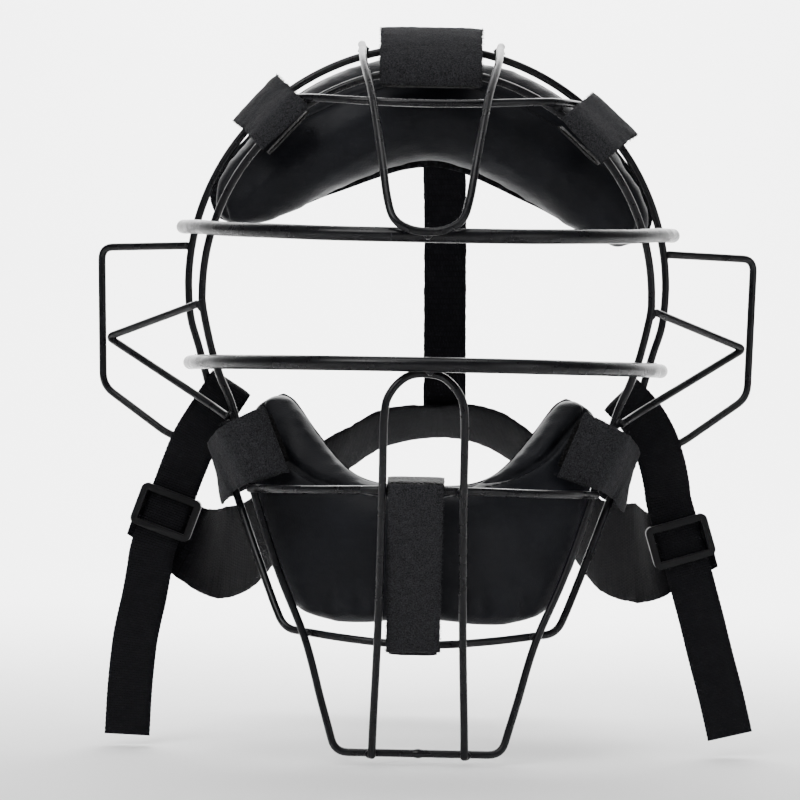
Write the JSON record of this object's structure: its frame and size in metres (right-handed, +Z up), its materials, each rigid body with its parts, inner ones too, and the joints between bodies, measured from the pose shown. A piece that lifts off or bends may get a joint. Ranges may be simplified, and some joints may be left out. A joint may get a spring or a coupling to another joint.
{
  "type": "catcher's mask",
  "caption": "Welded wire face mask with thick eye bars, throat guard and ear guards, padded at forehead and chin with hook-and-loop tabs, and an elastic head harness.",
  "frame": {"origin": "middle of the face opening at eye level, in the plane of the rear hoop", "axes": "+Z up along the face, +Y backwards into the wearer's head, -Y the way the wearer looks, +X to the wearer's left"},
  "size_m": [0.2606, 0.2672, 0.279],
  "materials": {
    "wire": "glossy black powder coat on welded steel wire",
    "vinyl": "satin black imitation leather",
    "foam": "soft dark grey foam",
    "mesh_lining": "matt black knitted lining",
    "loop_fabric": "brushed charcoal loop fabric",
    "hook_fabric": "black hook tape",
    "webbing": "black woven webbing",
    "elastic": "black woven elastic",
    "slider_plastic": "satin black moulded plastic"
  },
  "bodies": {
    "cage": {"brow_bar": "wire", "chin_bar": "wire", "chin_centre_hook": "hook_fabric", "chin_centre_root": "loop_fabric", "chin_left_hook": "hook_fabric", "chin_left_root": "loop_fabric", "chin_pad_cover": "vinyl", "chin_pad_foam": "foam", "chin_pad_lining": "mesh_lining", "chin_right_hook": "hook_fabric", "chin_right_root": "loop_fabric", "crown_strap": "elastic", "forehead_centre_hook": "hook_fabric", "forehead_centre_root": "loop_fabric", "forehead_left_hook": "hook_fabric", "forehead_left_root": "loop_fabric", "forehead_pad_cover": "vinyl", "forehead_pad_foam": "foam", "forehead_pad_lining": "mesh_lining", "forehead_right_hook": "hook_fabric", "forehead_right_root": "loop_fabric", "front_hoop": "wire", "left_ear_guard_brace": "wire", "left_ear_guard_frame": "wire", "left_webbing": "webbing", "lower_centre_loop": "wire", "lower_eye_bar": "wire", "rear_hoop": "wire", "rear_strap": "elastic", "right_ear_guard_brace": "wire", "right_ear_guard_frame": "wire", "right_webbing": "webbing", "upper_centre_loop": "wire", "upper_eye_bar": "wire"},
    "left_slider": {"left_slider": "slider_plastic"},
    "right_slider": {"right_slider": "slider_plastic"},
    "left_tail": {"left_tail": "webbing"},
    "right_tail": {"right_tail": "webbing"},
    "forehead_centre_tab": {"forehead_centre_tab": "loop_fabric"},
    "forehead_left_tab": {"forehead_left_tab": "loop_fabric"},
    "forehead_right_tab": {"forehead_right_tab": "loop_fabric"},
    "chin_centre_tab": {"chin_centre_tab": "loop_fabric"},
    "chin_left_tab": {"chin_left_tab": "loop_fabric"},
    "chin_right_tab": {"chin_right_tab": "loop_fabric"}
  },
  "joints": [
    {"name": "left_slider_slide", "type": "slide", "parent": "cage", "child": "left_slider", "axis": [-0.3338, 0, -0.9426], "range_m": [-0.006, 0.005]},
    {"name": "right_slider_slide", "type": "slide", "parent": "cage", "child": "right_slider", "axis": [0.289, 0, -0.9573], "range_m": [-0.006, 0.005]},
    {"name": "left_tail_swing", "type": "hinge", "parent": "cage", "child": "left_tail", "pos_m": [-0.10632, 0, -0.10761], "axis": [1, 0, 0], "range_deg": [-50, 10]},
    {"name": "right_tail_swing", "type": "hinge", "parent": "cage", "child": "right_tail", "pos_m": [0.1069, 0, -0.11323], "axis": [1, 0, 0], "range_deg": [-50, 10]},
    {"name": "forehead_centre_tab_peel", "type": "hinge", "parent": "cage", "child": "forehead_centre_tab", "pos_m": [0, 0.0064, 0.1033], "axis": [-1, 0, 0], "range_deg": [0, 80]},
    {"name": "forehead_left_tab_peel", "type": "hinge", "parent": "cage", "child": "forehead_left_tab", "pos_m": [-0.06739, 0.0064, 0.07671], "axis": [-0.6756, 0, -0.7373], "range_deg": [0, 80]},
    {"name": "forehead_right_tab_peel", "type": "hinge", "parent": "cage", "child": "forehead_right_tab", "pos_m": [0.07101, 0.0064, 0.07309], "axis": [-0.7373, 0, 0.6756], "range_deg": [0, 80]},
    {"name": "chin_centre_tab_peel", "type": "hinge", "parent": "cage", "child": "chin_centre_tab", "pos_m": [-0.0026, -0.0532, -0.133], "axis": [1, 0, 0], "range_deg": [0, 70]},
    {"name": "chin_left_tab_peel", "type": "hinge", "parent": "cage", "child": "chin_left_tab", "pos_m": [-0.0764, -0.0214, -0.0638], "axis": [0.4384, 0, -0.8988], "range_deg": [0, 80]},
    {"name": "chin_right_tab_peel", "type": "hinge", "parent": "cage", "child": "chin_right_tab", "pos_m": [0.0764, -0.0214, -0.0638], "axis": [0.4384, 0, 0.8988], "range_deg": [0, 80]}
  ]
}
